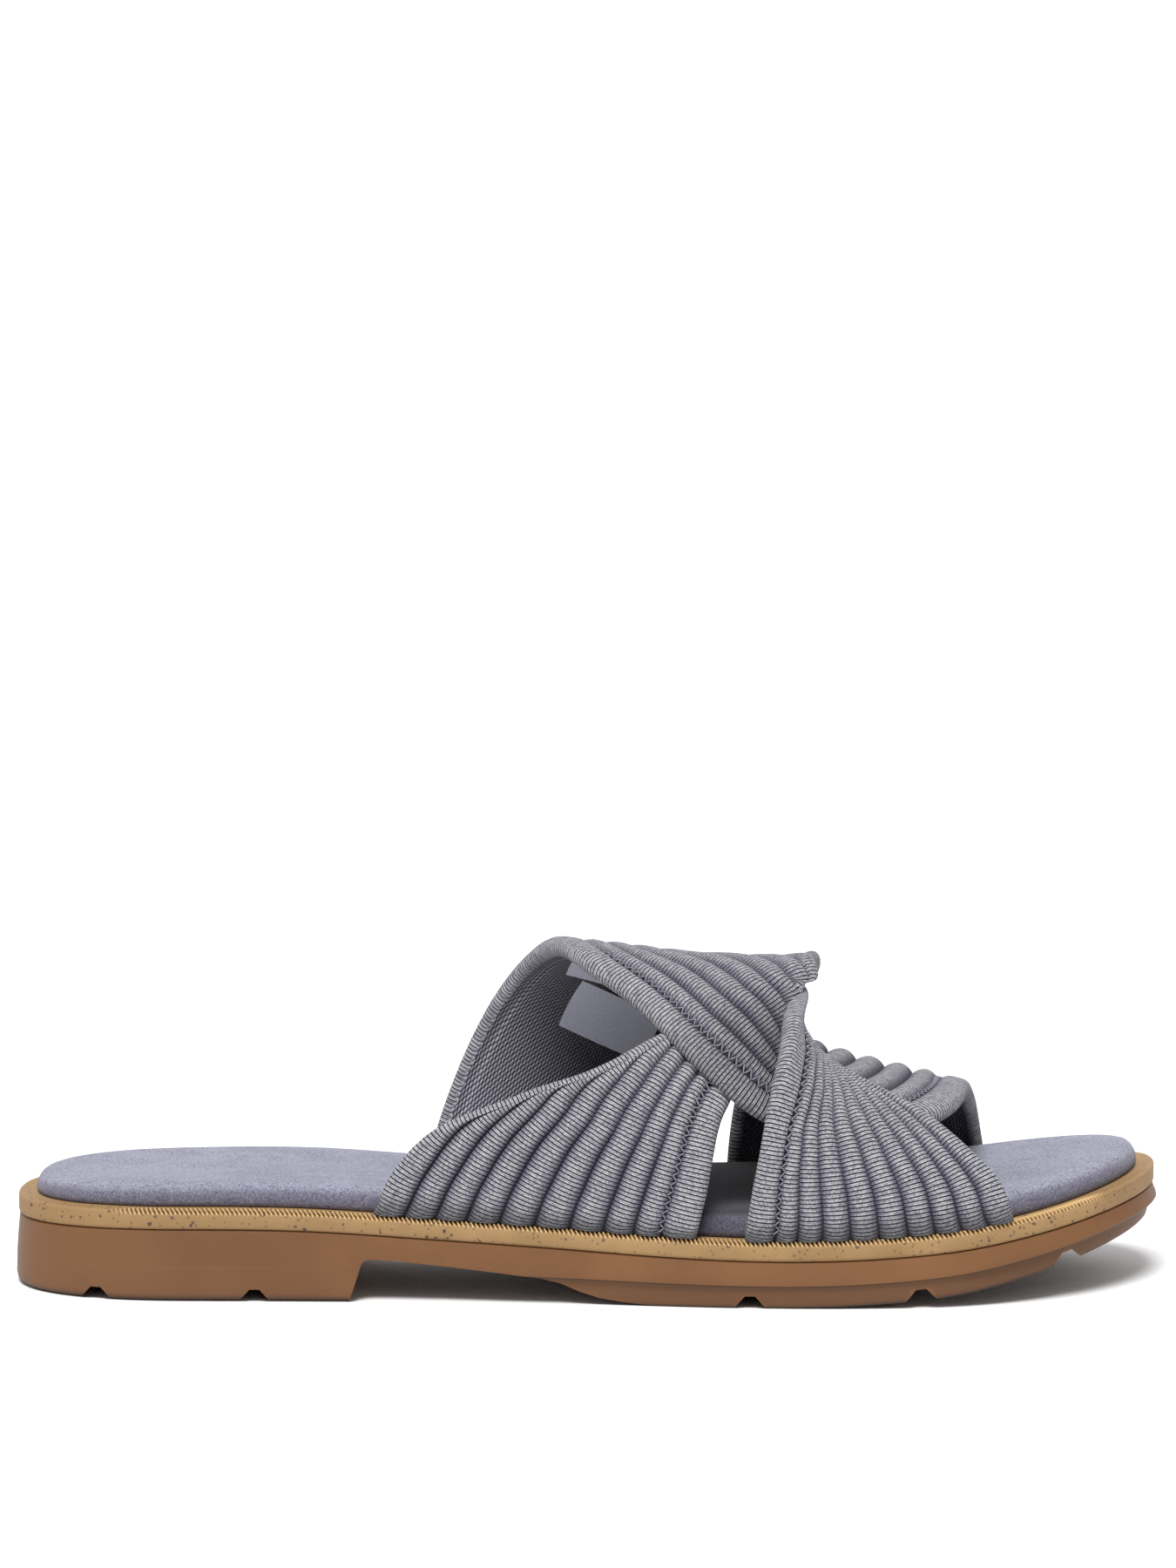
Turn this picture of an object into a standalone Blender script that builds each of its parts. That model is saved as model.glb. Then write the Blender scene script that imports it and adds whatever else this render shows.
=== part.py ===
"""Right-foot slide sandal with two interlocked knit straps on a stitched-look moulded sole.
Metres, +X to the toe, -Y the outer (little toe) side, +Z up, the floor at Z = 0."""
import bmesh
import bpy
import numpy as np

# Driving sizes
SOLE_LENGTH = 0.258
BALL_WIDTH = 0.088
HEEL_STACK = 0.0205      # floor to the top of the midsole at the heel
TOE_SPRING = 0.0138      # how far the tip of the toe clears the floor
MIDSOLE_EDGE = 0.0044    # height of the tan edge
BED_LEDGE = 0.0042       # width of midsole left bare around the footbed
BED_HEIGHT = 0.0058      # footbed above the midsole, at the ball
TIER_STEP = 0.0015       # how far the lower tread tier stands back at the toe
HEEL_BREAST = 0.0080     # height of the hollow in front of the heel block
INSTEP_TOP = 0.0785      # the foot's top line above the floor, at the back of the straps
STRAP_WALL = 0.0026
RIB_HEIGHT = 0.0017
KNOT_RISE = 0.0190       # how far the highest fold of the knot stands off the foot
KNOT_LEAN = 0.25         # how much the knot's folds lean to the toe
EDGE_ROUND = 0.0010      # rounding of the midsole's upper edge
GAP = 0.0003

# Outline of the sole: along, then outer and inner side as shares of BALL_WIDTH
OUTLINE = (
    (0.00, -0.345, 0.345),
    (0.12, -0.365, 0.355),
    (0.25, -0.375, 0.355),
    (0.38, -0.395, 0.335),
    (0.50, -0.430, 0.355),
    (0.62, -0.478, 0.430),
    (0.72, -0.492, 0.485),
    (0.82, -0.475, 0.495),
    (0.92, -0.425, 0.480),
    (1.00, -0.360, 0.450),
)
HEEL_ROUND, HEEL_SQUARE = 0.15, 2.5                  # share of the length, power of the curve
TOE_ROUND, TOE_OUTER, TOE_INNER = 0.20, 2.05, 2.6
TOE_TIP = 0.10                                       # the tip leans to the big toe, share of BALL_WIDTH

# Side view: along, clearance (share of TOE_SPRING), midsole top (share of HEEL_STACK),
# footbed (share of BED_HEIGHT)
PROFILE = (
    (0.00, 0.00, 0.990, 0.76),
    (0.11, 0.00, 1.000, 0.78),
    (0.26, 0.00, 0.985, 0.80),
    (0.37, 0.00, 0.907, 0.86),
    (0.46, 0.00, 0.844, 0.94),
    (0.56, 0.00, 0.770, 1.00),
    (0.67, 0.00, 0.737, 1.00),
    (0.74, 0.05, 0.761, 1.00),
    (0.82, 0.20, 0.844, 1.00),
    (0.89, 0.47, 0.980, 1.00),
    (0.96, 0.80, 1.146, 0.94),
    (1.00, 1.00, 1.244, 0.86),
)

# Outsole wall: level from tread to midsole, then how far it stands back (share of TIER_STEP)
# at the heel, at the ball and at the toe
WALL = (
    (0.00, 0.30, 0.75, 1.45),
    (0.07, -0.40, 0.45, 0.95),
    (0.43, -0.30, 0.40, 0.85),
    (0.49, -0.25, -0.10, -0.15),
    (0.72, -0.10, -0.15, -0.30),
    (1.00, 0.15, 0.15, 0.15),
)

# Footbed wall: share of its height, how far it stands in (share of BED_HEIGHT)
BED_WALL = (
    (0.00, 0.05),
    (0.25, 0.00),
    (0.60, 0.05),
    (0.85, 0.20),
    (1.00, 0.55),
    (1.04, 1.55),
)

# Hollow under the arch: along, height (share of HEEL_BREAST)
ARCH = (
    (0.287, -0.20),
    (0.292, 0.30),
    (0.299, 0.86),
    (0.306, 1.02),
    (0.316, 1.06),
    (0.430, 0.80),
    (0.475, 0.64),
    (0.496, 0.32),
    (0.530, 0.10),
    (0.565, -0.02),
    (0.565, -0.20),
)
NOTCHES = (0.069, 0.207, 0.641, 0.790, 0.925)        # along
NOTCH_FOOT, NOTCH_TOP, NOTCH_DEPTH = 0.0072, 0.0023, 0.0028

# Top line of the foot under the straps: along, height (share of INSTEP_TOP)
INSTEP = (
    (0.26, 1.020),
    (0.35, 1.000),
    (0.42, 0.962),
    (0.48, 0.924),
    (0.54, 0.873),
    (0.60, 0.796),
    (0.655, 0.694),
    (0.69, 0.631),
    (0.73, 0.586),
    (0.79, 0.535),
    (0.85, 0.484),
    (0.91, 0.470),
)
INSTEP_FULL = 2.25       # power of the arch across the foot, 2 is an ellipse

# Straps, from the sole over the foot and back. Outer and inner edge each hold along, girth
# (0 at the outer side of the sole, 1 at the inner side) and lift (share of KNOT_RISE).
# travel, outer along, girth, lift, inner along, girth, lift
SIDE_STRAP = (
    (0.00, 0.316, 0.000, 0.000, 0.593, 0.000, 0.000),
    (0.09, 0.337, 0.048, 0.015, 0.598, 0.030, 0.015),
    (0.18, 0.366, 0.100, 0.030, 0.603, 0.066, 0.015),
    (0.28, 0.446, 0.155, 0.040, 0.607, 0.112, 0.015),
    (0.38, 0.529, 0.232, 0.040, 0.613, 0.170, 0.030),
    (0.46, 0.597, 0.370, 0.020, 0.626, 0.250, 0.090),
    (0.53, 0.645, 0.530, 0.080, 0.636, 0.390, 0.350),
    (0.59, 0.656, 0.500, 0.200, 0.640, 0.440, 0.740),
    (0.65, 0.672, 0.430, 0.100, 0.638, 0.350, 0.720),
    (0.72, 0.716, 0.385, 0.030, 0.641, 0.262, 0.600),
    (0.81, 0.788, 0.290, 0.050, 0.645, 0.150, 0.300),
    (0.90, 0.843, 0.145, 0.020, 0.642, 0.070, 0.105),
    (1.00, 0.863, 0.000, 0.000, 0.636, 0.000, 0.000),
)
ARCH_STRAP = (
    (0.00, 0.355, 1.000, 0.000, 0.577, 1.000, 0.000),
    (0.08, 0.372, 0.930, 0.015, 0.579, 0.930, 0.015),
    (0.18, 0.403, 0.810, 0.015, 0.589, 0.820, 0.040),
    (0.28, 0.448, 0.640, 0.015, 0.616, 0.700, 0.200),
    (0.37, 0.496, 0.430, 0.020, 0.644, 0.590, 0.560),
    (0.44, 0.540, 0.345, 0.060, 0.658, 0.510, 0.930),
    (0.51, 0.590, 0.245, 0.200, 0.643, 0.455, 0.760),
    (0.58, 0.640, 0.190, 0.150, 0.655, 0.390, 0.250),
    (0.66, 0.701, 0.195, 0.000, 0.663, 0.430, 0.000),
    (0.74, 0.771, 0.250, -0.010, 0.660, 0.540, -0.010),
    (0.82, 0.818, 0.390, -0.010, 0.652, 0.680, 0.000),
    (0.91, 0.843, 0.720, 0.000, 0.635, 0.860, 0.010),
    (1.00, 0.857, 1.000, 0.000, 0.627, 1.000, 0.000),
)
SIDE_RIBS, ARCH_RIBS = 10, 9
RIB_POINTS = 3           # facets across one rib
STRAP_ROWS = 29
RING = 96                # points around the sole


def column(table, index, at):
    """Smooth curve through one column of a table, read at the given places."""
    keys = np.array([row[0] for row in table])
    values = np.array([row[index] for row in table])
    gaps = np.diff(keys)
    slopes = np.diff(values) / gaps
    bends = np.concatenate((slopes[:1], slopes, slopes[-1:]))
    weights = np.concatenate((gaps[:1], gaps, gaps[-1:]))
    bends = (bends[:-1] * weights[1:] + bends[1:] * weights[:-1]) / (weights[:-1] + weights[1:])
    at = np.clip(np.asarray(at, float), keys[0], keys[-1])
    low = np.clip(np.searchsorted(keys, at) - 1, 0, len(keys) - 2)
    part = (at - keys[low]) / gaps[low]
    return (
        values[low] * (2 * part**3 - 3 * part**2 + 1)
        + values[low + 1] * (3 * part**2 - 2 * part**3)
        + gaps[low] * bends[low] * (part**3 - 2 * part**2 + part)
        + gaps[low] * bends[low + 1] * (part**3 - part**2)
    )


def superround(part, power):
    """Rises from 0 to 1 as an ellipse of the given power does."""
    part = np.clip(part, 0, 1)
    return (1 - (1 - part) ** power) ** (1 / power)


def sole_sides(along):
    """Outer and inner side of the sole, in metres from the centre line."""
    centre = TOE_TIP * np.clip((along - 1 + TOE_ROUND) / TOE_ROUND, 0, 1) ** 2
    heel = superround(along / HEEL_ROUND, HEEL_SQUARE)
    outer, inner = column(OUTLINE, 1, along), column(OUTLINE, 2, along)
    toe_outer = superround((1 - along) / TOE_ROUND, TOE_OUTER)
    toe_inner = superround((1 - along) / TOE_ROUND, TOE_INNER)
    outer = centre + (outer - centre) * heel * toe_outer
    inner = centre + (inner - centre) * heel * toe_inner
    return outer * BALL_WIDTH, inner * BALL_WIDTH


def outline_point(turn):
    """Point of the outline at a turn from the heel (0) by the outer side to the toe (pi) and back."""
    along = (1 - np.cos(turn)) / 2
    outer, inner = sole_sides(along)
    return np.stack(((along - 0.5) * SOLE_LENGTH, np.where(np.sin(turn) >= 0, outer, inner)), axis=-1)


def sole_ring(inset):
    """Outline moved inwards by the inset, which may differ from point to point."""
    turn = np.arange(RING) * 2 * np.pi / RING
    run = outline_point(turn + 0.01) - outline_point(turn - 0.01)
    out = np.stack((run[:, 1], -run[:, 0]), axis=-1) / np.linalg.norm(run, axis=1)[:, None]
    return outline_point(turn) - out * np.reshape(inset, (-1, 1))


def tread_height(along):
    return np.maximum(column(PROFILE, 1, along), 0) * TOE_SPRING


def midsole_top(along):
    return column(PROFILE, 2, along) * HEEL_STACK


def new_object(name, points, faces, colour, rough):
    mesh = bpy.data.meshes.new(name)
    mesh.from_pydata([tuple(map(float, point)) for point in points], [], faces)
    mesh.validate()
    body = bpy.data.objects.new(name, mesh)
    bpy.context.scene.collection.objects.link(body)
    finish = bpy.data.materials.new(name)
    finish.use_nodes = True
    shader = finish.node_tree.nodes["Principled BSDF"]
    shader.inputs["Base Color"].default_value = (*colour, 1)
    shader.inputs["Roughness"].default_value = rough
    mesh.materials.append(finish)
    return body


def loft(name, levels, colour, rough):
    """Closed solid through rings around the sole. Each level is an inset and a height function."""
    points = []
    for inset, height in levels:
        flat = sole_ring(inset)
        along = np.clip(flat[:, 0] / SOLE_LENGTH + 0.5, 0, 1)
        points.extend(np.column_stack((flat, height(along))))
    faces = []
    for level in range(len(levels) - 1):
        low, high = level * RING, (level + 1) * RING
        for k in range(RING):
            after = (k + 1) % RING
            faces.append((low + k, low + after, high + after, high + k))
    half, last = RING // 2, (len(levels) - 1) * RING
    for k in range(half):
        near, far = (k, k + 1), ((RING - k) % RING, RING - k - 1)
        bottom = list(dict.fromkeys((near[0], far[0], far[1], near[1])))
        faces.append(tuple(bottom))
        faces.append(tuple(last + corner for corner in reversed(bottom)))
    return new_object(name, points, faces, colour, rough)


def blend_sides(row, along):
    """A wall row's step back, read from its heel, ball and toe columns."""
    heel, ball, toe = row[1:]
    steps = ((0.0, heel), (0.28, heel), (0.45, ball), (0.80, ball), (0.96, toe), (1.0, toe))
    return column(steps, 1, along) * TIER_STEP


def cut(body, cutters):
    """Takes each cutter away from the body, then hides the cutter."""
    for cutter in cutters:
        cutter.hide_render = True
        cutter.display_type = "WIRE"
        step = body.modifiers.new(cutter.name, "BOOLEAN")
        step.operation = "DIFFERENCE"
        step.solver = "EXACT"
        step.object = cutter


def side_prism(name, corners):
    """Prism through the whole width of the sole. Corners are (x, z) and run anticlockwise."""
    count = len(corners)
    points = [(x, y, z) for y in (-BALL_WIDTH, BALL_WIDTH) for x, z in corners]
    faces = [tuple(range(count)), tuple(reversed(range(count, 2 * count)))]
    for k in range(count):
        after = (k + 1) % count
        faces.append((k, count + k, count + after, after))
    return new_object(name, points, faces, (0.1, 0.1, 0.1), 0.8)


def build_outsole():
    def level(row):
        def height(along):
            low = tread_height(along)
            return low + row[0] * (midsole_top(along) - MIDSOLE_EDGE - GAP - low)
        turn = np.arange(RING) * 2 * np.pi / RING
        return blend_sides(row, (1 - np.cos(turn)) / 2), height

    body = loft("outsole", [level(row) for row in WALL], (0.245, 0.118, 0.056), 0.6)
    arch = [((along - 0.5) * SOLE_LENGTH, height * HEEL_BREAST) for along, height in reversed(ARCH)]
    cutters = [side_prism("arch_cutter", arch)]
    for number, along in enumerate(NOTCHES):
        middle = (along - 0.5) * SOLE_LENGTH
        tread = float(tread_height(along))
        reach = NOTCH_FOOT / SOLE_LENGTH
        lean = float(tread_height(along + reach) - tread_height(along - reach)) / (2 * NOTCH_FOOT)
        below = 1.5
        slant = (NOTCH_FOOT - NOTCH_TOP) / 2 / NOTCH_DEPTH
        foot = NOTCH_FOOT / 2 + slant * below * NOTCH_DEPTH
        shape = ((-foot, -below), (foot, -below), (NOTCH_TOP / 2, 1.0), (-NOTCH_TOP / 2, 1.0))
        corners = [(middle + x, tread + lean * x + depth * NOTCH_DEPTH) for x, depth in shape]
        cutters.append(side_prism(f"notch_cutter_{number}", corners))
    cut(body, cutters)


def build_midsole():
    def raised(drop):
        return lambda along: midsole_top(along) - drop
    loft("midsole", [
        (GAP, raised(MIDSOLE_EDGE)),
        (0.0, raised(MIDSOLE_EDGE - GAP)),
        (0.0, raised(EDGE_ROUND)),
        (0.9 * EDGE_ROUND, raised(0.0)),
    ], (0.40, 0.255, 0.135), 0.7)


def build_footbed():
    def raised(share):
        return lambda along: midsole_top(along) + GAP + share * column(PROFILE, 3, along) * BED_HEIGHT
    levels = [(BED_LEDGE + inset * BED_HEIGHT, raised(share)) for share, inset in BED_WALL]
    loft("footbed", levels, (0.32, 0.33, 0.44), 0.95)


def instep_point(along, girth):
    """Point of the foot's skin under the straps."""
    outer, inner = sole_sides(along)
    outer, inner = outer + BED_LEDGE - 2 * GAP, inner - BED_LEDGE + 2 * GAP
    low = midsole_top(along) + GAP
    side, rise = -np.cos(np.pi * girth), np.sin(np.pi * girth)
    power = 2 / INSTEP_FULL
    across = (outer + inner) / 2 + (inner - outer) / 2 * np.sign(side) * np.abs(side) ** power
    height = low + (column(INSTEP, 1, along) * INSTEP_TOP - low) * np.clip(rise, 0, 1) ** power
    return np.stack(((along - 0.5) * SOLE_LENGTH, across, height), axis=-1)


def instep_normal(along, girth):
    inside = np.clip(girth, 0.006, 0.994)
    run = instep_point(along + 0.002, inside) - instep_point(along - 0.002, inside)
    climb = instep_point(along, inside + 0.001) - instep_point(along, inside - 0.001)
    normal = np.cross(run, climb)
    return normal / np.linalg.norm(normal, axis=-1)[..., None]


def rib_swell(across, ribs):
    """Height of the padded ribs, 0 in the furrows and 1 on the crests."""
    return np.abs(np.sin(np.pi * across * ribs)) ** 0.7


def strap_sheets(table, ribs):
    """Inner and outer skin of a strap, each as rows by columns of points."""
    travel = np.linspace(0, 1, STRAP_ROWS)[:, None]
    across = np.linspace(0, 1, ribs * RIB_POINTS + 1)[None, :]
    edge = [column(table, index, travel) for index in range(1, 7)]
    along, girth, lift = (edge[k] + (edge[k + 3] - edge[k]) * across for k in range(3))
    base, normal = instep_point(along, girth), instep_normal(along, girth)
    tuck = np.clip(np.minimum(travel, 1 - travel) / 0.06, 0, 1)
    normal = normal + np.array((KNOT_LEAN, 0, 0)) * np.clip(lift, 0, 1)[..., None]
    normal = normal / np.linalg.norm(normal, axis=-1)[..., None]
    inner = base + normal * (lift * KNOT_RISE)[..., None]
    thick = STRAP_WALL + RIB_HEIGHT * rib_swell(across, ribs) * (0.25 + 0.75 * tuck)
    return inner, inner + normal * thick[..., None]


def strap(name, table, ribs):
    """Solid between the two skins of a strap."""
    inner, outer = strap_sheets(table, ribs)
    rows, columns = inner.shape[:2]
    points = np.concatenate((inner.reshape(-1, 3), outer.reshape(-1, 3)))
    step = rows * columns
    faces = []
    for i in range(rows - 1):
        for j in range(columns - 1):
            a, b = i * columns + j, (i + 1) * columns + j
            faces.append((a, b, b + 1, a + 1))
            faces.append((step + a, step + a + 1, step + b + 1, step + b))
    rim = [j for j in range(columns)]
    rim += [(i + 1) * columns - 1 for i in range(1, rows)]
    rim += [(rows - 1) * columns + j for j in reversed(range(columns - 1))]
    rim += [i * columns for i in reversed(range(1, rows - 1))]
    for k, a in enumerate(rim):
        b = rim[(k + 1) % len(rim)]
        faces.append((a, b, step + b, step + a))
    if table[0][2] > 0.5:
        faces = [tuple(reversed(face)) for face in faces]
    return new_object(name, points, faces, (0.22, 0.225, 0.285), 0.9)


def keep_outer_shell(body):
    """Bakes the modifiers and fills small voids that the joined shapes shut in."""
    view = bpy.context.evaluated_depsgraph_get()
    joined = bpy.data.meshes.new_from_object(body.evaluated_get(view))
    body.modifiers.clear()
    body.data = joined
    shell = bmesh.new()
    shell.from_mesh(joined)
    waiting, shells = set(shell.faces), []
    while waiting:
        group, edge = set(), {waiting.pop()}
        while edge:
            group |= edge
            edge = {near for face in edge for side in face.edges for near in side.link_faces} - group
        waiting -= group
        shells.append(group)
    largest = max(shells, key=len)
    for group in shells:
        if group is not largest:
            bmesh.ops.delete(shell, geom=list(group), context="FACES")
    shell.to_mesh(joined)
    shell.free()


def build_upper():
    """Two straps that hook through each other, joined where they cross."""
    side = strap("upper", SIDE_STRAP, SIDE_RIBS)
    arch = strap("arch_strap", ARCH_STRAP, ARCH_RIBS)
    join = side.modifiers.new("join", "BOOLEAN")
    join.operation = "UNION"
    join.solver = "EXACT"
    join.object = arch
    keep_outer_shell(side)
    bpy.data.objects.remove(arch, do_unlink=True)


def main():
    for item in list(bpy.data.objects):
        bpy.data.objects.remove(item, do_unlink=True)
    build_outsole()
    build_midsole()
    build_footbed()
    build_upper()


main()
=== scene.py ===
import math
import bpy
import mathutils
import numpy as np
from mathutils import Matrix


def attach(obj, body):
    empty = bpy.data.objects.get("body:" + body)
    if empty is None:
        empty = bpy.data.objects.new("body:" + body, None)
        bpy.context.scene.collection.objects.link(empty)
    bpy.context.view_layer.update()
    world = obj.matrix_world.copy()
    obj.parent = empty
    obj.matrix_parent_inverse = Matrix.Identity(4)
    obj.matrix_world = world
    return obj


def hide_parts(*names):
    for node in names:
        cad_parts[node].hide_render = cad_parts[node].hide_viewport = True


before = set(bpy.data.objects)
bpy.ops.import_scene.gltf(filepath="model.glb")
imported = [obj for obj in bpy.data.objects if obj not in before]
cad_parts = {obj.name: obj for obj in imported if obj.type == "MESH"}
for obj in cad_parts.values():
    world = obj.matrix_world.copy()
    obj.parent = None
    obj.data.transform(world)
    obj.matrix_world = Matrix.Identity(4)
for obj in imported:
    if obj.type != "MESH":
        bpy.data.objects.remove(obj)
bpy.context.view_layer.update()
print("frame loaded:", sorted(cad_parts))

# The shoe's own sizes in metres, named as in the part's source
shoe = {
    "soleLength": 0.258,
    "ballWidth": 0.088,
    "heelStack": 0.0205,
    "toeSpring": 0.0138,
    "midsoleEdge": 0.0044,
    "bedLedge": 0.0042,
    "bedHeight": 0.0058,
    "tierStep": 0.0015,
    "heelBreast": 0.0080,
    "instepTop": 0.0785,
    "instepFull": 2.25,
    "strapWall": 0.0026,
    "ribHeight": 0.0022,
    "knotRise": 0.0190,
    "knotLean": 0.25,
    "gap": 0.0003,
    # along, outer side, inner side (shares of ballWidth)
    "outline": (
        (0.00, -0.345, 0.345), (0.12, -0.365, 0.355), (0.25, -0.375, 0.355), (0.38, -0.395, 0.335),
        (0.50, -0.430, 0.355), (0.62, -0.478, 0.430), (0.72, -0.492, 0.485), (0.82, -0.475, 0.495),
        (0.92, -0.425, 0.480), (1.00, -0.360, 0.450)),
    "heelRound": 0.15, "heelSquare": 2.5,
    "toeRound": 0.20, "toeOuter": 2.05, "toeInner": 2.6, "toeTip": 0.10,
    # along, clearance (toeSpring), midsole top (heelStack), footbed (bedHeight)
    "profile": (
        (0.00, 0.00, 0.990, 0.70), (0.11, 0.00, 1.000, 0.84), (0.26, 0.00, 0.985, 0.93),
        (0.37, 0.00, 0.907, 0.93), (0.46, 0.00, 0.844, 0.96), (0.56, 0.00, 0.770, 1.00),
        (0.67, 0.00, 0.737, 1.00), (0.74, 0.05, 0.761, 1.00), (0.82, 0.20, 0.844, 1.00),
        (0.89, 0.47, 0.980, 1.00), (0.96, 0.80, 1.146, 0.94), (1.00, 1.00, 1.244, 0.86)),
    # along, height of the foot's top line (instepTop)
    "instep": (
        (0.26, 1.020), (0.35, 1.000), (0.42, 0.962), (0.48, 0.924), (0.54, 0.873), (0.60, 0.796),
        (0.655, 0.694), (0.69, 0.631), (0.73, 0.586), (0.79, 0.535), (0.85, 0.484), (0.91, 0.470)),
}


def curveThrough(table, index, at):
    # smooth curve through one column of a table whose first column is where
    keys = np.array([row[0] for row in table])
    values = np.array([row[index] for row in table])
    gaps = np.diff(keys)
    slopes = np.diff(values) / gaps
    bends = np.concatenate((slopes[:1], slopes, slopes[-1:]))
    weights = np.concatenate((gaps[:1], gaps, gaps[-1:]))
    bends = (bends[:-1] * weights[1:] + bends[1:] * weights[:-1]) / (weights[:-1] + weights[1:])
    at = np.clip(np.asarray(at, float), keys[0], keys[-1])
    low = np.clip(np.searchsorted(keys, at) - 1, 0, len(keys) - 2)
    part = (at - keys[low]) / gaps[low]
    return (
        values[low] * (2 * part**3 - 3 * part**2 + 1)
        + values[low + 1] * (3 * part**2 - 2 * part**3)
        + gaps[low] * bends[low] * (part**3 - 2 * part**2 + part)
        + gaps[low] * bends[low + 1] * (part**3 - part**2))


def smoothStep(low, high, value):
    part = np.clip((value - low) / (high - low), 0, 1)
    return part * part * (3 - 2 * part)


def bell(value, middle, span):
    return np.exp(-((value - middle) / span) ** 2)


def superRound(part, power):
    part = np.clip(part, 0, 1)
    return (1 - (1 - part) ** power) ** (1 / power)


def soleSides(along):
    centre = shoe["toeTip"] * np.clip((along - 1 + shoe["toeRound"]) / shoe["toeRound"], 0, 1) ** 2
    heel = superRound(along / shoe["heelRound"], shoe["heelSquare"])
    toeOuter = superRound((1 - along) / shoe["toeRound"], shoe["toeOuter"])
    toeInner = superRound((1 - along) / shoe["toeRound"], shoe["toeInner"])
    outer = curveThrough(shoe["outline"], 1, along)
    inner = curveThrough(shoe["outline"], 2, along)
    outer = centre + (outer - centre) * heel * toeOuter
    inner = centre + (inner - centre) * heel * toeInner
    return outer * shoe["ballWidth"], inner * shoe["ballWidth"]


def outlinePoint(turn):
    # turn runs from the heel by the outer side to the toe (pi) and back by the inner side
    along = (1 - np.cos(turn)) / 2
    outer, inner = soleSides(along)
    side = np.where(np.sin(turn) >= 0, outer, inner)
    return np.stack(((along - 0.5) * shoe["soleLength"], side), axis=-1)


def evenTurns(count):
    # turns that lie evenly spaced round the edge of the sole
    turn = np.linspace(0, 2 * np.pi, 6001)
    steps = np.linalg.norm(np.diff(outlinePoint(turn), axis=0), axis=1)
    run = np.concatenate(((0,), np.cumsum(steps)))
    return np.interp(np.linspace(0, run[-1], count + 1), run, turn), run[-1]


def soleRing(turn, inset):
    # the edge of the sole moved inwards by the inset
    near = 0.006
    run = outlinePoint(turn + near) - outlinePoint(turn - near)
    out = np.stack((run[:, 1], -run[:, 0]), axis=-1) / np.linalg.norm(run, axis=1)[:, None]
    return outlinePoint(turn) - out * np.reshape(inset, (-1, 1))


def alongOf(x):
    return np.clip(x / shoe["soleLength"] + 0.5, 0, 1)


def treadHeight(along):
    return np.maximum(curveThrough(shoe["profile"], 1, along), 0) * shoe["toeSpring"]


def midsoleTop(along):
    return curveThrough(shoe["profile"], 2, along) * shoe["heelStack"]


def bedBase(along, share):
    # height at a share of the footbed's thickness, over its seat on the midsole
    rise = curveThrough(shoe["profile"], 3, along) * shoe["bedHeight"]
    return midsoleTop(along) + shoe["gap"] * 0.3 + share * rise


# Shader maths: a Wire is an output socket, and each sum or comparison of wires adds a Math node
class Wire:
    def __init__(self, finish, socket):
        self.finish, self.socket = finish, socket

    def maths(self, operation, *values):
        return self.finish.node("ShaderNodeMath", {"operation": operation}, dict(enumerate(values)))

    def __add__(self, other):
        return self.maths("ADD", self, other)

    def __sub__(self, other):
        return self.maths("SUBTRACT", self, other)

    def __rsub__(self, other):
        return self.maths("SUBTRACT", other, self)

    def __mul__(self, other):
        return self.maths("MULTIPLY", self, other)

    def __truediv__(self, other):
        return self.maths("DIVIDE", self, other)

    def __pow__(self, other):
        return self.maths("POWER", self, other)

    def __gt__(self, other):
        return self.maths("GREATER_THAN", self, other)

    def __lt__(self, other):
        return self.maths("LESS_THAN", self, other)

    __radd__ = __add__

    def wave(self):
        # 0 at whole numbers and 1 half way between them
        return self.maths("ABSOLUTE", self.maths("SINE", self * math.pi))

    def whole(self):
        return self.maths("FLOOR", self)

    def within(self, low, high):
        # 0 below low, 1 above high, smooth between
        settings = {"interpolation_type": "SMOOTHSTEP", "clamp": True}
        sockets = {"Value": self, "From Min": low, "From Max": high}
        return self.finish.node("ShaderNodeMapRange", settings, sockets)


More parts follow.
